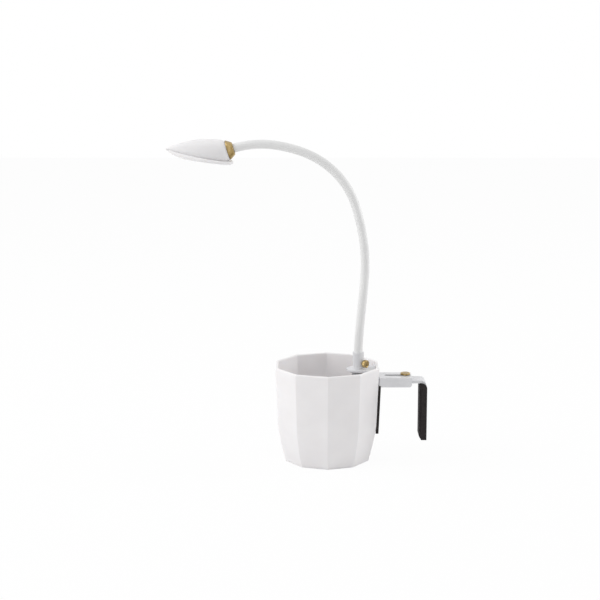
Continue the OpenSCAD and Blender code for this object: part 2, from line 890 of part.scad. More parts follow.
module heat_spreader() color(steel)
    on_ball()
        difference() {
            leaf_plate(board_r - 0.4, board_len - 1, well_z + board_t, spreader_t);
            at_board_screws()
                cylinder(d = board_screw_d + 2 * run_gap, h = 2 * board_t + spreader_t);
        }

module board_screws() color(steel)
    on_ball()
        at_board_screws() {
            translate([0, 0, board_t + spreader_t])
                cylinder(d = 2 * board_screw_d - 0.2, h = 1.2);
            translate([0, 0, -1.4])
                cylinder(d = board_screw_d, h = board_t + spreader_t + 1.5);
        }

cup();
shelf_bracket();
bracket_screws();
fixed_jaw_plate();
fixed_jaw_pad();
clamp_housing();
neck_collar();
collar_gasket();
collar_nut();
spigot_grommet();
collar_thumbscrew();
jaw_bar();
jaw_boot();
clamp_stud();
clamp_washer();
clamp_knob();
neck_link(0);  // neck_link_1
neck_link(1);  // neck_link_2
neck_link(2);  // neck_link_3
neck_link(3);  // neck_link_4
neck_link(4);  // neck_link_5
neck_link(5);  // neck_link_6
neck_link(6);  // neck_link_7
neck_link(7);  // neck_link_8
head_ferrule();
swivel_nipple();
swivel_nut();
head_shell();
head_bezel();
head_lens();
led_board();
led_chips();
heat_spreader();
board_screws();
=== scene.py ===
import math

import bmesh
import bpy
from mathutils import Matrix, Vector


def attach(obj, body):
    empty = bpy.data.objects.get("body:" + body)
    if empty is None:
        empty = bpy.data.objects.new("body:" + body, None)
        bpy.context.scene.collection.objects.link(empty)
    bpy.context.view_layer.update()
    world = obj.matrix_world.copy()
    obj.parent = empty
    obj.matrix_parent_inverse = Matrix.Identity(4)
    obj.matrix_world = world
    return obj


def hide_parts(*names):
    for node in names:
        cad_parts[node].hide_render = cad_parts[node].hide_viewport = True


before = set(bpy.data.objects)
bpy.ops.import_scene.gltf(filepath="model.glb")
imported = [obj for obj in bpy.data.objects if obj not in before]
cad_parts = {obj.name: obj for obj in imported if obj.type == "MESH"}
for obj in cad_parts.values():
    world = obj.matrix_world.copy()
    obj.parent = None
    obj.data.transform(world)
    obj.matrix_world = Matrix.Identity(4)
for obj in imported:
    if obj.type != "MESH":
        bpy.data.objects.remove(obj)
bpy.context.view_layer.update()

# Lengths of the object are in millimetres and turned into metres where a mesh is made.
# Its main sizes repeat those of the CAD model.
MM = 0.001

# Smallest ring, at the axis of a knurled or turned end
AXIS_R = 0.02

# Edges of the head's pieces that turn by more than this stay sharp
CREASE = math.radians(50)

# Copies of CAD pieces: points closer than WELD metres become one, faces that turn by less
# than FLAT become one, and edges that turn by more than BEVEL_FROM are rounded
WELD = 2e-6
FLAT = math.radians(0.6)
BEVEL_FROM = math.radians(34)
BEVEL_STEPS = 3

# Cup
SIDES = 10
HALF_SIDE = math.pi / SIDES
CUP_H = 100.0
TOP_R = 56.0
KNEE_R = 53.4
KNEE_H = 40.0
KNEE_POWER = 1.3
BASE_R = 45.0
KNEE_STEPS = 28
WALL = 3.0
WALL_LEVELS = (60, 80)
FLOOR = 4.0
FLOOR_ROUND = 2
MIDDLE_R = 6
FOOT_RECESS = 1.0
FOOT_RECESS_R = 38.0
FOOT_CORNER = 1
OUTER_CORNER = 1.1
INNER_CORNER = 2.4
RIM_ROUND = 1.26
RIM_STEPS = 6
RIM_INSET = 0.02
DRAFT = math.atan(math.cos(HALF_SIDE) * (TOP_R - KNEE_R) / (CUP_H - KNEE_H))

# Collar, its screw and the knob of the clamp
COLLAR_X = 32.279
COLLAR_TOP = 113.0
COLLAR_R = 5.85
THUMB_Z = 101.7
THUMB_TURN = math.radians(37)
THUMB_R = 4.0
THUMB_T = 4.0
THUMB_START = COLLAR_R + 1.2
THUMB_FLUTES = 26
# (radius, distance from the neck's axis)
SHANK = [(AXIS_R, 4.55), (1.2, 4.55), (1.5, 4.85), (1.5, 6.3), (1.9, 6.4), (2.1, 6.6),
         (2.1, THUMB_START + 0.1), (AXIS_R, THUMB_START + 0.1)]
KNOB_AT = (81.085, 0.0, 89.0)
KNOB_R = 5.0
KNOB_T = 2.2
KNOB_FLUTES = 32
KNURL_EDGE = 0.3
KNURL_DEPTH = 0.22
KNURL_STEPS = 8
KNURL_POWER = 0.7
FACE_HOLLOW = 0.18

# Gooseneck
NECK_R = 4.5
NECK_SIDES = 40
NECK_STEPS = 30
NECK_START = 0.03
LINK = 37.4
LEAN = math.radians(87.5)
BENDS = [math.radians(b) for b in (-3.5, 2.5, 12, 9.5, 26, 24, 16.5, 22.5)]
NECK_STRAIGHT = 5.0
STEM = 14.0
TAIL = 1.6
TAIL_R = 4.1
NECK_BALL_R = NECK_R - 0.02

# Head
BALL_R = 13.4
BALL_GAP = 0.3
HEAD_LEN = 55.2
HEAD_TILT = math.radians(6.5)
TILT_RANGE = (math.radians(-5), math.radians(25))
SEAM = -6.4
TIP_Z = -1.5
SHELL_T = 1.6
DOME_INSET = 0.06
DOME_SHORT = 0.8
DOME_TOP = math.radians(89.3)
DOME_LEVELS_IN = 20
DOME_LEVELS_OUT = 44
TIP_WALLS = 2.2
DOME_BACK = 48
DOME_NOSE = 36
SLOT_HALF = 2.3
SLOT_FROM = 10.2
SLOT_TO = 15
SLOT_STEPS = 24
BEZEL_R = 15.9
BEZEL_T = 3.5
BEZEL_STEPS = 24
BELLY = 0.6
SEAM_GAP = 0.15
LENS_T = 1.5
LENS_LOW = 0.2
LENS_R = 13.4
LENS_LEN = 44.2
LENS_GAP = 0.15
LENS_CENTRE_R = 0.4
WELL = (9.76, 32.0, -6.7)
WINDOW = (5.0, 28.0)
LEAF_POWER = 1.9
LEAF_STEPS = 28
NOSE_END = 0.98

# Ferrule: (radius, distance from the ball's centre)
FERRULE_REACH = 15.9
FERRULE_TURN = math.radians(17)
FERRULE_OUTSIDE = [
    (9.86, 9.53), (9.98, 9.68), (10, 9.88), (9.93, 10.2), (9.72, 10.65), (9.35, 11.3),
    (8.75, 12.25), (8.0, 13.4), (7.3, 14.5), (6.95, 15.05), (6.75, 15.4), (6.55, 15.65),
    (6.2, 15.85), (5.8, 15.9), (4.6, 15.9), (4.2, 15.75)]
FERRULE_POCKET = [(4.15, 15.6), (4.15, FERRULE_REACH - TAIL), (2.0, FERRULE_REACH - TAIL)]

# CAD pieces that keep their form: (node, rounding of the edges, record slot, body)
SOFTENED = (
    ("shelf_bracket", 0.45, "white_paint", "cup_body"),
    ("bracket_screws", 0.25, "steel", "cup_body"),
    ("fixed_jaw_plate", 0.2, "white_paint", "cup_body"),
    ("fixed_jaw_pad", 0.4, "rubber", "cup_body"),
    ("clamp_housing", 0.5, "white_paint", "cup_body"),
    ("neck_collar", 0.5, "white_paint", "cup_body"),
    # The collar's black rubber gasket is partly painted shade: besides being a washer, its black
    # stands for the shadow in the gap under the shelf plate.
    ("collar_gasket", 0.3, "rubber", "cup_body"),
    ("collar_nut", 0.3, "steel", "cup_body"),
    ("spigot_grommet", 0.2, "rubber", "cup_body"),
    ("jaw_bar", 0.4, "white_paint", "jaw"),
    ("jaw_boot", 0.6, "rubber", "jaw"),
    ("clamp_stud", 0.25, "steel", "jaw"),
    ("clamp_washer", 0.12, "steel", "jaw"),
    ("swivel_nipple", 0.2, "steel", "neck_8"),
    ("swivel_nut", 0.25, "steel", "neck_8"),
    ("led_board", 0.1, "board", "head"),
    ("led_chips", 0.12, "phosphor", "head"),
    ("heat_spreader", 0.15, "aluminium", "head"),
    ("board_screws", 0.15, "steel", "head"))

# Studio, in metres and watts: softboxes are (name, place, size, power)
CAMERA_AT = (-0.0281, -1.5605, 0.4781)
CAMERA_TILT = math.radians(78.76)
CAMERA_LENS = 92.88
WORLD_LIGHT = 0.66
GROUND_HALF = 3.0
GROUND_GLOW = 0.95
AIM = (0, 0, 0.15)
SOFTBOXES = (("Key", (-1.7, -0.15, 1.0), 1.0, 14.0),
             ("Fill", (1.7, 0.3, 0.7), 0.8, 9.0),
             ("Top", (-0.2, -0.1, 1.7), 1.0, 3.0))


# ---------------------------------------------------------------- meshes

def smooth(mesh):
    for face in mesh.polygons:
        face.use_smooth = True


def crease(piece):
    piece.data.set_sharp_from_angle(angle=CREASE)


def add_object(name, verts, faces, matrix=None):
    mesh = bpy.data.meshes.new(name)
    place = matrix or Matrix.Identity(4)
    mesh.from_pydata([(place @ Vector(v)) * MM for v in verts], [], faces)
    mesh.validate()
    smooth(mesh)
    piece = bpy.data.objects.new(name, mesh)
    bpy.context.scene.collection.objects.link(piece)
    return piece


def turn_outward(piece):
    """Points the faces of a closed mesh outwards."""
    work = bmesh.new()
    work.from_mesh(piece.data)
    bmesh.ops.recalc_face_normals(work, faces=work.faces)
    work.to_mesh(piece.data)
    work.free()
    return piece


def rungs(first, count):
    """Faces over a ring that is alike on both sides: rungs between opposite points."""
    faces = [(first + k, first + k + 1, first + count - 2 - k, first + count - 1 - k)
             for k in range(count // 2 - 1)]
    middle = first + count // 2
    faces.append((middle - 1, middle, middle + 1))
    return faces


def loft(name, rings, matrix=None, closed=False, laddered=False):
    """Skin through rings of equally many points. A laddered skin has rungs over its ends."""
    count = len(rings[0])
    verts = [p for ring in rings for p in ring]
    faces = []
    for i in range(len(rings) if closed else len(rings) - 1):
        low = i * count
        high = (i + 1) % len(rings) * count
        for j in range(count):
            k = (j + 1) % count
            faces.append((low + j, low + k, high + k, high + j))
    last = (len(rings) - 1) * count
    if laddered:
        faces += rungs(0, count) + rungs(last, count)
    elif not closed:
        faces.append(tuple(reversed(range(count))))
        faces.append(tuple(range(last, last + count)))
    return turn_outward(add_object(name, verts, faces, matrix))


def lathe(name, profile, matrix, steps, closed=False):
    """Turns a profile of (radius, height) about the axis of the matrix."""
    rings = []
    for radius, height in profile:
        rings.append([(radius * math.cos(2 * math.pi * k / steps),
                       radius * math.sin(2 * math.pi * k / steps), height)
                      for k in range(steps)])
    return loft(name, rings, matrix, closed=closed)


def even_normals(piece):
    """Flat faces stay flat and the rounded edges between them carry the turn."""
    weigh = piece.modifiers.new("Normals", "WEIGHTED_NORMAL")
    weigh.mode = "FACE_AREA"
    weigh.weight = 80


def softened(node, edge):
    """Copy of a CAD piece with its edges rounded by edge millimetres."""
    work = bmesh.new()
    work.from_mesh(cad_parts[node].data)
    bmesh.ops.remove_doubles(work, verts=work.verts, dist=WELD)
    bmesh.ops.dissolve_limit(work, angle_limit=FLAT, verts=work.verts, edges=work.edges)
    work.verts.ensure_lookup_table()
    work.verts.index_update()
    verts = [v.co / MM for v in work.verts]
    faces = [[v.index for v in face.verts] for face in work.faces]
    work.free()
    piece = add_object(node.capitalize(), verts, faces)
    bevel = piece.modifiers.new("Edges", "BEVEL")
    bevel.limit_method = "ANGLE"
    bevel.angle_limit = BEVEL_FROM
    bevel.width = edge * MM
    bevel.segments = BEVEL_STEPS
    bevel.use_clamp_overlap = True
    even_normals(piece)
    return piece


# ---------------------------------------------------------------- materials

class Shader:
    """A Principled material with a few helpers for its node tree."""

    def __init__(self, name):
        self.material = bpy.data.materials.new(name)
        self.material.use_nodes = True
        self.nodes = self.material.node_tree.nodes
        self.links = self.material.node_tree.links
        self.shader = self.nodes["Principled BSDF"]
        self.place = self.add("ShaderNodeTexCoord").outputs["Object"]

    def add(self, kind, **settings):
        node = self.nodes.new(kind)
        for key, value in settings.items():
            setattr(node, key, value)
        return node

    def set(self, **values):
        """Sets inputs of the shader by name, with _ for a space."""
        for key, value in values.items():
            self.shader.inputs[key.replace("_", " ")].default_value = value
        return self

    def noise(self, scale, detail, where=None, kind="3D"):
        node = self.add("ShaderNodeTexNoise", noise_dimensions=kind)
        node.inputs["Scale"].default_value = scale
        node.inputs["Detail"].default_value = detail
        if kind == "1D":
            self.links.new(where, node.inputs["W"])
        else:
            self.links.new(where or self.place, node.inputs["Vector"])
        return node.outputs["Fac"]

    def spread(self, value, low, high):
        """Maps the middle of a noise to the range from low to high."""
        node = self.add("ShaderNodeMapRange", clamp=True)
        node.inputs["From Min"].default_value = 0.3
        node.inputs["From Max"].default_value = 0.7
        node.inputs["To Min"].default_value = low
        node.inputs["To Max"].default_value = high
        self.links.new(value, node.inputs["Value"])
        return node.outputs["Result"]

    def colours(self, value, first, second):
        """Blends two colours over the middle of a noise."""
        ramp = self.add("ShaderNodeValToRGB")
        ramp.color_ramp.elements[0].position = 0.35
        ramp.color_ramp.elements[0].color = (*first, 1)
        ramp.color_ramp.elements[1].position = 0.65
        ramp.color_ramp.elements[1].color = (*second, 1)
        self.links.new(value, ramp.inputs["Fac"])
        self.links.new(ramp.outputs["Color"], self.shader.inputs["Base Color"])

    def roughness(self, value, low, high):
        self.links.new(self.spread(value, low, high), self.shader.inputs["Roughness"])

    def bump(self, *heights):
        """Each height is (value, strength, distance in millimetres)."""
        normal = None
        for value, strength, distance in heights:
            node = self.add("ShaderNodeBump")
            node.inputs["Strength"].default_value = strength
            node.inputs["Distance"].default_value = distance * MM
            self.links.new(value, node.inputs["Height"])
            if normal:
                self.links.new(normal, node.inputs["Normal"])
            normal = node.outputs["Normal"]
        self.links.new(normal, self.shader.inputs["Normal"])

    def turned(self, origin, axis):
        """Distance along and away from an axis, for the marks of a lathe."""
        away = self.add("ShaderNodeVectorMath", operation="SUBTRACT")
        self.links.new(self.place, away.inputs[0])
        away.inputs[1].default_value = [c * MM for c in origin]
        along = self.add("ShaderNodeVectorMath", operation="DOT_PRODUCT")
        self.links.new(away.outputs["Vector"], along.inputs[0])
        along.inputs[1].default_value = axis
        cross = self.add("ShaderNodeVectorMath", operation="CROSS_PRODUCT")
        self.links.new(away.outputs["Vector"], cross.inputs[0])
        cross.inputs[1].default_value = axis
        radius = self.add("ShaderNodeVectorMath", operation="LENGTH")
        self.links.new(cross.outputs["Vector"], radius.inputs[0])
        total = self.add("ShaderNodeMath", operation="ADD")
        self.links.new(along.outputs["Value"], total.inputs[0])
        self.links.new(radius.outputs["Value"], total.inputs[1])
        return total.outputs["Value"]


def white_plastic():
    """Moulded plastic of the cup and the head: satin, and thin enough to pass some light."""
    m = Shader("White_plastic").set(IOR=1.49, Subsurface_Weight=0.35, Subsurface_Scale=0.004,
                                    Subsurface_Radius=(1.0, 0.95, 0.9))
    flow = m.noise(38, 3)
    grain = m.noise(1500, 2)
    m.colours(flow, (0.848, 0.830, 0.836), (0.872, 0.856, 0.862))
    m.roughness(m.noise(160, 3), 0.34, 0.44)
    m.bump((flow, 0.12, 0.25), (grain, 0.10, 0.03))
    return m.material


def white_paint():
    """Powder coat on the sheet-metal pieces, with its orange peel."""
    m = Shader("White_paint").set(IOR=1.5)
    peel = m.noise(620, 2)
    m.colours(m.noise(90, 3), (0.71, 0.712, 0.73), (0.75, 0.752, 0.77))
    m.roughness(m.noise(420, 2), 0.30, 0.42)
    m.bump((peel, 0.25, 0.06), (m.noise(2600, 2), 0.12, 0.02))
    return m.material


def neck_paint():
    """Smooth sleeve of the gooseneck."""
    m = Shader("Neck_white").set(IOR=1.46)
    m.colours(m.noise(55, 3), (0.78, 0.78, 0.778), (0.81, 0.81, 0.808))
    m.roughness(m.noise(300, 3), 0.36, 0.46)
    m.bump((m.noise(240, 2), 0.06, 0.05), (m.noise(2200, 2), 0.08, 0.02))
    return m.material


def brass(name, origin, axis):
    """Turned brass with fine lathe marks round its axis."""
    m = Shader(name).set(Metallic=1.0, IOR=1.5)
    marks = m.noise(5200, 2, m.turned(origin, axis), "1D")
    # Random patches of darker and lighter brass, partly tarnish and partly painted reflection:
    # the dark patches stand for dark surroundings that the white studio does not give the metal
    # to reflect.
    stain_and_painted_reflection = m.noise(190, 4)
    m.colours(stain_and_painted_reflection, (0.25, 0.17, 0.062), (0.50, 0.37, 0.17))
    m.roughness(m.noise(480, 3), 0.22, 0.34)
    m.bump((marks, 0.25, 0.02), (m.noise(1800, 2), 0.06, 0.02))
    return m.material


def steel():
    """Bright zinc-plated steel of the screws, nuts and washers."""
    m = Shader("Zinc_steel").set(Metallic=1.0)
    m.colours(m.noise(420, 4), (0.50, 0.51, 0.53), (0.60, 0.61, 0.62))
    m.roughness(m.noise(700, 3), 0.26, 0.42)
    m.bump((m.noise(2400, 3), 0.15, 0.02))
    return m.material


def aluminium():
    """Rolled sheet of the heat spreader: lines along X."""
    m = Shader("Rolled_aluminium").set(Metallic=1.0)
    stretch = m.add("ShaderNodeMapping")
    stretch.inputs["Scale"].default_value = (0.05, 1.0, 1.0)
    m.links.new(m.place, stretch.inputs["Vector"])
    lines = m.noise(4200, 3, stretch.outputs["Vector"])
    m.colours(lines, (0.62, 0.63, 0.65), (0.76, 0.77, 0.78))
    m.roughness(lines, 0.30, 0.48)
    m.bump((lines, 0.2, 0.02))
    return m.material


def rubber():
    """Matt black rubber with a fine grain and a little dust on it."""
    m = Shader("Black_rubber").set(IOR=1.38)
    dust = m.noise(240, 5)
    m.colours(dust, (0.012, 0.009, 0.009), (0.022, 0.017, 0.017))
    m.roughness(m.noise(900, 3), 0.62, 0.80)
    m.bump((m.noise(1300, 3), 0.45, 0.08), (dust, 0.1, 0.1))
    return m.material


def diffuser():
    """Opal plastic of the lens, with a pearl grain that scatters the light."""
    m = Shader("Opal_lens").set(IOR=1.49, Transmission_Weight=0.35)
    m.colours(m.noise(60, 3), (0.84, 0.84, 0.83), (0.88, 0.88, 0.87))
    m.roughness(m.noise(900, 2), 0.45, 0.60)
    m.bump((m.noise(1700, 2), 0.5, 0.06))
    return m.material


def board():
    """White solder mask over woven glass."""
    m = Shader("Solder_mask")
    weave = m.add("ShaderNodeTexChecker")
    weave.inputs["Scale"].default_value = 2400
    m.links.new(m.place, weave.inputs["Vector"])
    m.colours(m.noise(300, 3), (0.74, 0.75, 0.72), (0.80, 0.80, 0.77))
    m.roughness(m.noise(700, 2), 0.25, 0.38)
    m.bump((weave.outputs["Fac"], 0.08, 0.01))
    return m.material


def phosphor():
    """Yellow gel of the light chips."""
    m = Shader("Phosphor_gel").set(IOR=1.45)
    m.colours(m.noise(2600, 4), (0.80, 0.60, 0.12), (0.88, 0.70, 0.22))
    m.roughness(m.noise(1500, 2), 0.30, 0.45)
    m.bump((m.noise(3200, 2), 0.3, 0.03))
    return m.material


def finish_piece(piece, material, body, slot, *nodes):
    """Gives a piece its material and its body, and hides the CAD nodes it stands for. The slot is
    not used.
    """
    piece.data.materials.clear()
    piece.data.materials.append(material)
    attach(piece, body)
    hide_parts(*nodes)


# ---------------------------------------------------------------- cup

def cup_radius(z):
    """Radius over the corners of the cup's outside at height z."""
    if z < KNEE_H:
        return KNEE_R - (KNEE_R - BASE_R) * (1 - z / KNEE_H) ** KNEE_POWER
    return KNEE_R + (TOP_R - KNEE_R) * (z - KNEE_H) / (CUP_H - KNEE_H)


def cup_ring(radius, z, corner):
    """One level of the cup: flat sides with rounded corners."""
    corner = min(corner, radius * 0.5)
    hub = radius - corner / math.cos(HALF_SIDE)
    points = []
    for side in range(SIDES):
        middle = (2 * side + 1) * HALF_SIDE
        for step in (-1, -0.5, 0, 0.5, 1):
            turn = middle + step * HALF_SIDE
            points.append((hub * math.cos(middle) + corner * math.cos(turn),
                           hub * math.sin(middle) + corner * math.sin(turn), z))
    return points


def foot_levels():
    """Middle of the underside, the step down to the ring it stands on, and the ring's edge."""
    return [(radius, z, FOOT_CORNER) for radius, z in (
        (MIDDLE_R, FOOT_RECESS), (FOOT_RECESS_R - 0.3, FOOT_RECESS),
        (FOOT_RECESS_R + 0.2, FOOT_RECESS - 0.3), (FOOT_RECESS_R + 0.8, 0.25),
        (FOOT_RECESS_R + 1.2, 0), (BASE_R - 1.0, 0), (BASE_R - 0.45, 0.12),
        (BASE_R - 0.05, 0.5))]


def outside_levels():
    """Up the outer wall: round the knee, then straight."""
    heights = [KNEE_H * step / KNEE_STEPS for step in range(1, KNEE_STEPS + 1)]
    heights += WALL_LEVELS
    return [(cup_radius(z), z, OUTER_CORNER) for z in heights]


def rim_levels(wall):
    """Over the rim: a quarter round outside and one inside."""
    base = CUP_H - RIM_ROUND
    turns = [math.pi / 2 * step / RIM_STEPS for step in range(RIM_STEPS + 1)]
    levels = [(cup_radius(base) - RIM_ROUND * (1 - math.cos(turn)) - RIM_INSET,
               base + RIM_ROUND * math.sin(turn), OUTER_CORNER) for turn in turns]
    levels += [(cup_radius(base) - wall + RIM_ROUND * (1 - math.cos(turn)),
                base + RIM_ROUND * math.sin(turn), INNER_CORNER) for turn in reversed(turns)]
    return levels


def inside_levels(wall):
    """Down the inner wall and round into the floor."""
    lowest = int(KNEE_STEPS * (FLOOR + FLOOR_ROUND) / KNEE_H)
    heights = list(reversed(WALL_LEVELS))
    heights += [KNEE_H * step / KNEE_STEPS for step in range(KNEE_STEPS, lowest, -1)]
    levels = [(cup_radius(z) - wall, z, INNER_CORNER) for z in heights]
    foot = cup_radius(FLOOR + FLOOR_ROUND) - wall
    for degrees in (0, 22.5, 45, 67.5, 90):
        angle = math.radians(degrees)
        levels.append((foot - FLOOR_ROUND * (1 - math.cos(angle)),
                       FLOOR + FLOOR_ROUND * (1 - math.sin(angle)), INNER_CORNER))
    levels.append((MIDDLE_R, FLOOR, INNER_CORNER))
    return levels


def cup_profile():
    """(radius, height, corner radius) from the underside over the rim to the floor inside."""
    wall = WALL / (math.cos(HALF_SIDE) * math.cos(DRAFT))
    return foot_levels() + outside_levels() + rim_levels(wall) + inside_levels(wall)


def make_cup(plastic):
    piece = loft("Cup", [cup_ring(*level) for level in cup_profile()])
    even_normals(piece)
    finish_piece(piece, plastic, "cup_body", "white_plastic", "cup")


# ---------------------------------------------------------------- turned and knurled pieces

def knurled_rings(radius, thick, flutes):
    """Rings of a knurled disc from its back to its slightly hollow face."""
    edge = KNURL_EDGE
    count = flutes * KNURL_STEPS
    # (radius, height, share of the grooves' depth)
    levels = [(AXIS_R, 0, 0), (radius * 0.5, 0, 0), (radius - 2 * edge, 0, 0),
              (radius - edge, 0.04, 0), (radius, edge, 1), (radius, thick - edge, 1),
              (radius - edge * 0.6, thick - 0.1, 0.4), (radius - 1.6 * edge, thick, 0),
              (radius - 3 * edge, thick - 0.02, 0), (radius - 3.6 * edge, thick - 0.16, 0),
              (radius * 0.4, thick - FACE_HOLLOW, 0), (AXIS_R, thick - FACE_HOLLOW, 0)]
    rings = []
    for level_r, z, share in levels:
        ring = []
        for k in range(count):
            angle = 2 * math.pi * k / count
            groove = abs(math.sin(flutes * angle / 2)) ** KNURL_POWER
            level = level_r - KNURL_DEPTH * share * (1 - groove)
            ring.append((level * math.cos(angle), level * math.sin(angle), z))
        rings.append(ring)
    return rings


def thumb_frame():
    """Z runs along the collar's screw, away from the neck."""
    direction = Matrix.Rotation(-THUMB_TURN, 4, "Z") @ Matrix.Rotation(math.pi / 2, 4, "Y")
    return Matrix.Translation((COLLAR_X, 0, THUMB_Z)) @ direction


def make_thumbscrew():
    place = thumb_frame()
    axis = (math.cos(THUMB_TURN), -math.sin(THUMB_TURN), 0)
    metal = brass("Brass_thumbscrew", (COLLAR_X, 0, THUMB_Z), axis)
    head = loft("Collar_thumbscrew_head", knurled_rings(THUMB_R, THUMB_T, THUMB_FLUTES),
                place @ Matrix.Translation((0, 0, THUMB_START)))
    finish_piece(head, metal, "collar_screw", "brass", "collar_thumbscrew")
    shank = lathe("Collar_thumbscrew_shank", SHANK, place, 48)
    finish_piece(shank, metal, "collar_screw", "brass", "collar_thumbscrew")


def make_knob():
    metal = brass("Brass_knob", KNOB_AT, (0, 0, 1))
    knob = loft("Clamp_knob", knurled_rings(KNOB_R, KNOB_T, KNOB_FLUTES),
                Matrix.Translation(KNOB_AT))
    finish_piece(knob, metal, "clamp_nut", "brass", "clamp_knob")


# ---------------------------------------------------------------- gooseneck

def heading(i):
    """Direction of the centre line where stretch i starts."""
    return LEAN + sum(BENDS[:i])


def on_link(i, share):
    """(x, z, direction) of the neck's centre line, a share of the way along stretch i."""
    x, z = COLLAR_X, COLLAR_TOP + NECK_STRAIGHT
    for k in range(i + 1):
        part = share if k == i else 1.0
        radius = LINK / BENDS[k]
        half = BENDS[k] * part / 2
        chord = 2 * radius * math.sin(half)
        x += chord * math.cos(heading(k) + half)
        z += chord * math.sin(heading(k) + half)
    return x, z, heading(i) + BENDS[i] * share


def neck_ring(x, z, direction, radius):
    """Circle square to the centre line."""
    ring = []
    for k in range(NECK_SIDES):
        angle = 2 * math.pi * k / NECK_SIDES
        lift = radius * math.sin(angle)
        ring.append((x - lift * math.sin(direction), radius * math.cos(angle),
                     z + lift * math.cos(direction)))
    return ring


def stretch(i):
    """Rings along stretch i, from just past its first joint."""
    return [neck_ring(*on_link(i, NECK_START + (1 - NECK_START) * k / NECK_STEPS), NECK_R)
            for k in range(NECK_STEPS + 1)]


def neck_foot():
    """Rings of the straight stem in the collar, up to the first bend."""
    low = COLLAR_TOP - STEM
    top = COLLAR_TOP + NECK_STRAIGHT
    upright = math.pi / 2
    rings = [neck_ring(COLLAR_X, z, upright, NECK_R)
             for z in (low, low + 2, COLLAR_TOP, top - 2.5, top - 1)]
    rings.append(neck_ring(COLLAR_X, top, (LEAN + upright) / 2, NECK_R))
    return rings


def neck_tail():
    """Rings of the thinner tail that sits in the ferrule."""
    x, z, direction = on_link(len(BENDS) - 1, 1)
    return [neck_ring(x + along * math.cos(direction), z + along * math.sin(direction),
                      direction, radius)
            for radius, along in ((TAIL_R, 0.02), (TAIL_R, TAIL - 0.4),
                                  (TAIL_R - 0.4, TAIL - 0.05))]


def ball_end(i, share, outward):
    """Rings past a joint, out to the top of the ball that fills the bend there."""
    x, z, direction = on_link(i, share)
    levels = [(0.3, NECK_R - 0.008)]
    for degrees in (12, 30, 50, 70, 85):
        angle = math.radians(degrees)
        levels.append((NECK_BALL_R * math.sin(angle), NECK_BALL_R * math.cos(angle)))
    return [neck_ring(x + outward * along * math.cos(direction),
                      z + outward * along * math.sin(direction), direction, level)
            for along, level in levels]


def make_neck(paint):
    """One rigid stretch for each body of the neck. They meet in balls, so no bend opens."""
    last = len(BENDS) - 1
    for i in range(len(BENDS)):
        if i == 0:
            start = neck_foot()
        else:
            start = ball_end(i, 0, -1)[::-1] + [neck_ring(*on_link(i, 0), NECK_R)]
        end = neck_tail() if i == last else ball_end(i, 1, 1)
        piece = loft(f"Neck_stretch_{i + 1}", start + stretch(i) + end)
        finish_piece(piece, paint, f"neck_{i + 1}", "neck_paint", f"neck_link_{i + 1}")


# ---------------------------------------------------------------- head

def ball_centre():
    x, z, direction = on_link(len(BENDS) - 1, 1)
    return Vector((x + FERRULE_REACH * math.cos(direction), 0,
                   z + FERRULE_REACH * math.sin(direction)))


def head_frame():
    return Matrix.Translation(ball_centre()) @ Matrix.Rotation(HEAD_TILT, 4, "Y")


def ferrule_frame():
    """Z runs from the ball's centre to the end of the neck."""
    return (Matrix.Translation(ball_centre())
            @ Matrix.Rotation(math.pi / 2 - FERRULE_TURN, 4, "Y"))


def leaf_half(radius, share):
    """Half the leaf's width, a share of the way from the ball's centre to the tip."""
    return radius * (1 - share ** LEAF_POWER)


def leaf_ring(radius, tip, height):
    """Leaf outline: half a circle at the back and two sides that meet in the tip.
    The height of each point is a number or a function of x."""
    shares = [NOSE_END * k / LEAF_STEPS for k in range(1, LEAF_STEPS + 1)]
    ring = [(-t * tip, -leaf_half(radius, t)) for t in reversed(shares)]
    for k in range(37):
        angle = math.radians(-90 + 5 * k)
        ring.append((radius * math.cos(angle), radius * math.sin(angle)))
    ring += [(-t * tip, leaf_half(radius, t)) for t in shares]
    return [(x, y, height(x) if callable(height) else height) for x, y in ring]


def seam_z(x):
    """Height of the seam between dome and bezel: level at the back, rising to the tip."""
    return SEAM + (TIP_Z - SEAM) * max(0.0, -x / HEAD_LEN) ** 1.6


def sole_z(x):
    """Height of the head's underside."""
    return SEAM - BEZEL_T + (TIP_Z - SEAM + BEZEL_T) * max(0.0, -x / HEAD_LEN) ** 5


def tray_ring(radius, tip, share, lift=0.0):
    """Ring of the bezel, a share of the way from its underside to its top."""
    return leaf_ring(radius, tip, lambda x: (1 - share) * sole_z(x)
                     + share * (seam_z(x) - SEAM_GAP) + lift)


def dome_ring(radius, tip, z):
    """Line round the dome: half a circle on the ball, then the sides of the nose.
    The nose's sections are ovals that stand on the seam."""
    share = (z - SEAM) / (radius - SEAM)
    half = []
    for k in range(1, DOME_NOSE + 1):
        t = NOSE_END * math.sin(math.pi / 2 * k / DOME_NOSE)
        height = (radius - SEAM) * (1 - t * t)
        middle = -SEAM * (1 - t)
        level = (height * share - middle) / (height - middle)
        half.append((-t * tip, leaf_half(radius, t) * math.sqrt(max(0, 1 - level * level)),
                     seam_z(-t * tip) + height * share))
    rim = math.sqrt(radius * radius - z * z)
    ring = [(x, -y, h) for x, y, h in reversed(half)]
    for k in range(DOME_BACK + 1):
        angle = -math.pi / 2 + math.pi * k / DOME_BACK
        ring.append((rim * math.cos(angle), rim * math.sin(angle), z))
    return ring + half


def dome_rings(radius, tip, levels):
    """Rings of the dome from the seam nearly to the top of the ball."""
    low = math.asin(SEAM / radius)
    return [dome_ring(radius, tip, radius * math.sin(low + (DOME_TOP - low) * k / levels))
            for k in range(levels + 1)]


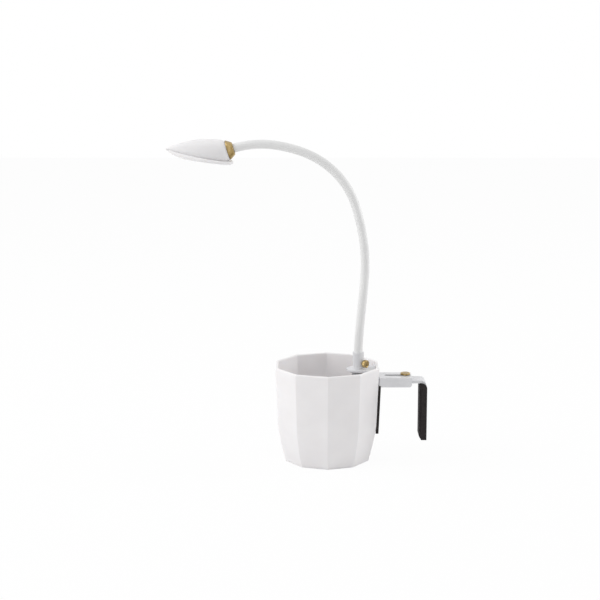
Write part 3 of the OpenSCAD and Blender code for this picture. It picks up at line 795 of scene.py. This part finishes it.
def slot_cutter(place):
    """Bent block that cuts the slot for the hollow stud into the ball."""
    half = math.asin(SLOT_HALF / (BALL_R - SHELL_T))
    rest = FERRULE_TURN + HEAD_TILT
    first = rest + TILT_RANGE[0] - half
    last = rest + TILT_RANGE[1] + half
    section = ((SLOT_FROM, -SLOT_HALF), (SLOT_TO, -SLOT_HALF),
               (SLOT_TO, SLOT_HALF), (SLOT_FROM, SLOT_HALF))
    rings = []
    for k in range(SLOT_STEPS + 1):
        angle = first + (last - first) * k / SLOT_STEPS
        rings.append([(radius * math.cos(angle), y, radius * math.sin(angle))
                      for radius, y in section])
    return loft("Slot_cutter", rings, place)


def cut(piece, cutter):
    """Subtracts cutter from piece for good."""
    step = piece.modifiers.new("Cut", "BOOLEAN")
    step.object = cutter
    step.solver = "EXACT"
    bpy.context.view_layer.update()
    shape = piece.evaluated_get(bpy.context.evaluated_depsgraph_get())
    piece.data = bpy.data.meshes.new_from_object(shape)
    piece.modifiers.clear()
    bpy.data.objects.remove(cutter)


def make_dome(plastic):
    """Shell over the seam, a little thicker at its tip, with a slot for the hollow stud."""
    place = head_frame()
    tip = HEAD_LEN - DOME_SHORT
    inner = dome_rings(BALL_R - SHELL_T, tip - TIP_WALLS * SHELL_T, DOME_LEVELS_IN)
    outer = dome_rings(BALL_R - DOME_INSET, tip, DOME_LEVELS_OUT)
    piece = loft("Head_dome", list(reversed(inner)) + outer, place, laddered=True)
    cut(piece, slot_cutter(place))
    smooth(piece.data)
    crease(piece)
    finish_piece(piece, plastic, "head", "white_plastic", "head_shell")


def bezel_inset(share):
    """How far the bezel's side lies inside its widest line, which is at the share BELLY."""
    if share < BELLY:
        return 1.4 * (1 - share / BELLY) ** 2.5
    return 0.9 * ((share - BELLY) / (1 - BELLY)) ** 2


def make_bezel(plastic):
    """Tray with a window over the lens and a well for the board."""
    seat = LENS_LOW + LENS_T + LENS_GAP
    well_r, well_len, well_z = WELL
    rings = [leaf_ring(*WINDOW, well_z), tray_ring(*WINDOW, 0, seat),
             tray_ring((WINDOW[0] + LENS_R) / 2, (WINDOW[1] + LENS_LEN) / 2, 0, seat),
             tray_ring(LENS_R, LENS_LEN, 0, seat)]
    rings += [tray_ring(LENS_R + grow, LENS_LEN + 2 * grow, 0, lift)
              for grow, lift in ((0, 0.3), (0.15, 0.08), (0.45, 0))]
    for k in range(BEZEL_STEPS + 1):
        share = k / BEZEL_STEPS
        inset = bezel_inset(share)
        rings.append(tray_ring(BEZEL_R - inset, HEAD_LEN - 0.05 - 1.6 * inset, share))
    rings += [tray_ring(BEZEL_R - 1.3, HEAD_LEN - 2.1, 1, 0.04),
              tray_ring((BEZEL_R + well_r) / 2, (HEAD_LEN + well_len) / 2, 1),
              tray_ring(well_r, well_len, 1), leaf_ring(well_r, well_len, well_z)]
    piece = loft("Head_bezel", rings, head_frame(), closed=True)
    crease(piece)
    finish_piece(piece, plastic, "head", "white_plastic", "head_bezel")


def make_lens(opal):
    """Opal cover in the bezel, a little hollow towards its middle."""
    radius = LENS_R - LENS_GAP
    tip = LENS_LEN - 2 * LENS_GAP
    top = LENS_LOW + LENS_T
    middle = radius - LENS_CENTRE_R
    # (distance in from the edge, height over the head's underside)
    levels = ((middle, LENS_LOW + 0.55), (6.0, LENS_LOW + 0.5), (3.0, LENS_LOW + 0.35),
              (1.2, LENS_LOW + 0.15), (0.5, LENS_LOW), (0.2, LENS_LOW + 0.1),
              (0, LENS_LOW + 0.3), (0, top - 0.2), (0.2, top), (middle, top))
    rings = [tray_ring(radius - inset, tip * (1 - inset / radius), 0, lift)
             for inset, lift in levels]
    piece = loft("Head_lens", rings, head_frame())
    crease(piece)
    finish_piece(piece, opal, "head", "diffuser", "head_lens")


def make_ferrule():
    """Turned cup that holds the ball, with a rolled lip and a fine groove at the neck."""
    seat = BALL_R + BALL_GAP
    bowl = []
    for degrees in range(9, 46, 3):
        angle = math.radians(degrees)
        bowl.append((seat * math.sin(angle), seat * math.cos(angle)))
    profile = FERRULE_OUTSIDE + FERRULE_POCKET + bowl
    place = ferrule_frame()
    axis = place.to_3x3() @ Vector((0, 0, 1))
    piece = lathe("Head_ferrule", profile, place, 112, closed=True)
    crease(piece)
    metal = brass("Brass_ferrule", ball_centre(), axis)
    finish_piece(piece, metal, "neck_8", "brass", "head_ferrule")


# ---------------------------------------------------------------- pieces that keep their CAD form

def make_softened(finishes):
    """CAD pieces with rounded edges, each named after its node with a capital first."""
    for node, edge, slot, body in SOFTENED:
        piece = softened(node, edge)
        finish_piece(piece, finishes[slot], body, slot, node)


# ---------------------------------------------------------------- studio

def add_camera():
    data = bpy.data.cameras.new("Camera")
    data.lens = CAMERA_LENS
    data.sensor_width = 36
    data.sensor_fit = "HORIZONTAL"
    data.clip_start = 0.05
    camera = bpy.data.objects.new("Camera", data)
    camera.location = CAMERA_AT
    camera.rotation_euler = (CAMERA_TILT, 0, 0)
    bpy.context.scene.collection.objects.link(camera)
    bpy.context.scene.camera = camera


def seen_white(tree):
    """1 for rays that show the background: from the camera, from gloss and through glass."""
    path = tree.nodes.new("ShaderNodeLightPath")
    total = path.outputs["Is Camera Ray"]
    for name in ("Is Glossy Ray", "Is Transmission Ray"):
        add = tree.nodes.new("ShaderNodeMath")
        add.operation = "MAXIMUM"
        tree.links.new(total, add.inputs[0])
        tree.links.new(path.outputs[name], add.inputs[1])
        total = add.outputs["Value"]
    return total


def add_world():
    """Soft light from all around, seen as plain white."""
    world = bpy.data.worlds.new("Studio")
    world.use_nodes = True
    bpy.context.scene.world = world
    tree = world.node_tree
    light = tree.nodes["Background"]
    light.inputs["Color"].default_value = (1, 1, 1, 1)
    light.inputs["Strength"].default_value = WORLD_LIGHT
    white = tree.nodes.new("ShaderNodeBackground")
    white.inputs["Color"].default_value = (1, 1, 1, 1)
    white.inputs["Strength"].default_value = 1.0
    mix = tree.nodes.new("ShaderNodeMixShader")
    tree.links.new(seen_white(tree), mix.inputs["Fac"])
    tree.links.new(light.outputs["Background"], mix.inputs[1])
    tree.links.new(white.outputs["Background"], mix.inputs[2])
    tree.links.new(mix.outputs["Shader"], tree.nodes["World Output"].inputs["Surface"])


def floor_paint():
    """Mostly white where it is seen, but with some of the object's shadow kept."""
    material = bpy.data.materials.new("Pale_floor")
    material.use_nodes = True
    tree = material.node_tree
    surface = tree.nodes["Principled BSDF"]
    surface.inputs["Base Color"].default_value = (0.9, 0.9, 0.9, 1)
    surface.inputs["Roughness"].default_value = 0.9
    surface.inputs["Specular IOR Level"].default_value = 0.0
    white = tree.nodes.new("ShaderNodeEmission")
    white.inputs["Strength"].default_value = 1.0
    share = tree.nodes.new("ShaderNodeMath")
    share.operation = "MULTIPLY"
    share.inputs[1].default_value = GROUND_GLOW
    mix = tree.nodes.new("ShaderNodeMixShader")
    tree.links.new(seen_white(tree), share.inputs[0])
    tree.links.new(share.outputs["Value"], mix.inputs["Fac"])
    tree.links.new(surface.outputs["BSDF"], mix.inputs[1])
    tree.links.new(white.outputs["Emission"], mix.inputs[2])
    tree.links.new(mix.outputs["Shader"], tree.nodes["Material Output"].inputs["Surface"])
    return material


def add_floor():
    half = GROUND_HALF
    mesh = bpy.data.meshes.new("Floor")
    mesh.from_pydata([(-half, -half, 0), (half, -half, 0), (half, half, 0), (-half, half, 0)],
                     [], [(0, 1, 2, 3)])
    mesh.materials.append(floor_paint())
    floor = bpy.data.objects.new("Floor", mesh)
    bpy.context.scene.collection.objects.link(floor)


def add_softbox(name, place, size, power):
    """Square light that points at the object."""
    data = bpy.data.lights.new(name, "AREA")
    data.shape = "RECTANGLE"
    data.size = size
    data.size_y = size
    data.energy = power
    lamp = bpy.data.objects.new(name, data)
    lamp.location = place
    lamp.rotation_euler = (Vector(AIM) - Vector(place)).to_track_quat("-Z", "Y").to_euler()
    bpy.context.scene.collection.objects.link(lamp)


def add_lights():
    for softbox in SOFTBOXES:
        add_softbox(*softbox)


# ---------------------------------------------------------------- scene

def set_view():
    bpy.context.scene.view_settings.view_transform = "Standard"


def build():
    add_camera()
    plastic = white_plastic()
    finishes = {
        "white_paint": white_paint(),
        "steel": steel(),
        "rubber": rubber(),
        "aluminium": aluminium(),
        "board": board(),
        "phosphor": phosphor(),
    }
    make_cup(plastic)
    make_thumbscrew()
    make_knob()
    make_neck(neck_paint())
    make_dome(plastic)
    make_bezel(plastic)
    make_lens(diffuser())
    make_ferrule()
    make_softened(finishes)
    set_view()
    add_world()
    add_floor()
    add_lights()


build()
